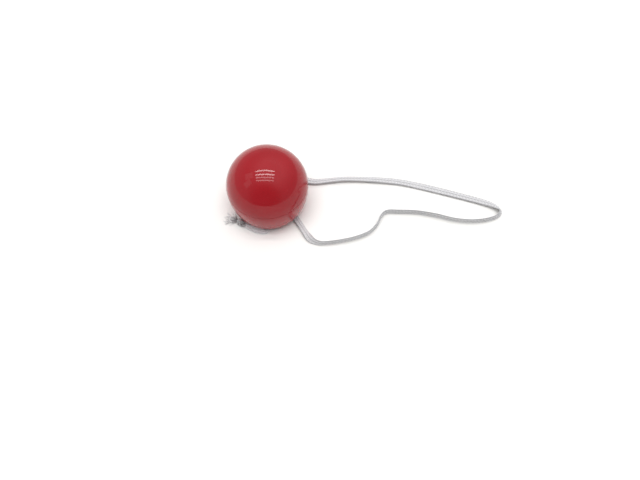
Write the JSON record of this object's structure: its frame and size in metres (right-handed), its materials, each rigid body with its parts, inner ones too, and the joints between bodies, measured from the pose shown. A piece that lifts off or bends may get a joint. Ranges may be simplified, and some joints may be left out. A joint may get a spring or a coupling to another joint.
{
  "type": "clown nose",
  "caption": "Glossy red plastic clown nose, a hollow ball with an open back and a small light inside, on a thin white flat elastic band that ends in a knot with a frayed tail",
  "frame": {"origin": "centre of the rim round the nose opening, on the surface that the nose and its band lie on", "axes": "+Z along the ball's axis from the open back to the front pole; +X towards the side where the loop of the band lies"},
  "size_m": [0.1618, 0.0525, 0.04],
  "materials": {
    "red_plastic": "glossy moulded red plastic",
    "light_plastic": "satin moulded light grey plastic",
    "elastic": "woven white elastic"
  },
  "bodies": {
    "root": {"front_shell": "red_plastic", "rear_shell": "red_plastic", "light_unit": "light_plastic", "elastic_band": "elastic", "end_knot": "elastic", "frayed_tail": "elastic", "stopper_knot": "elastic"}
  },
  "joints": []
}
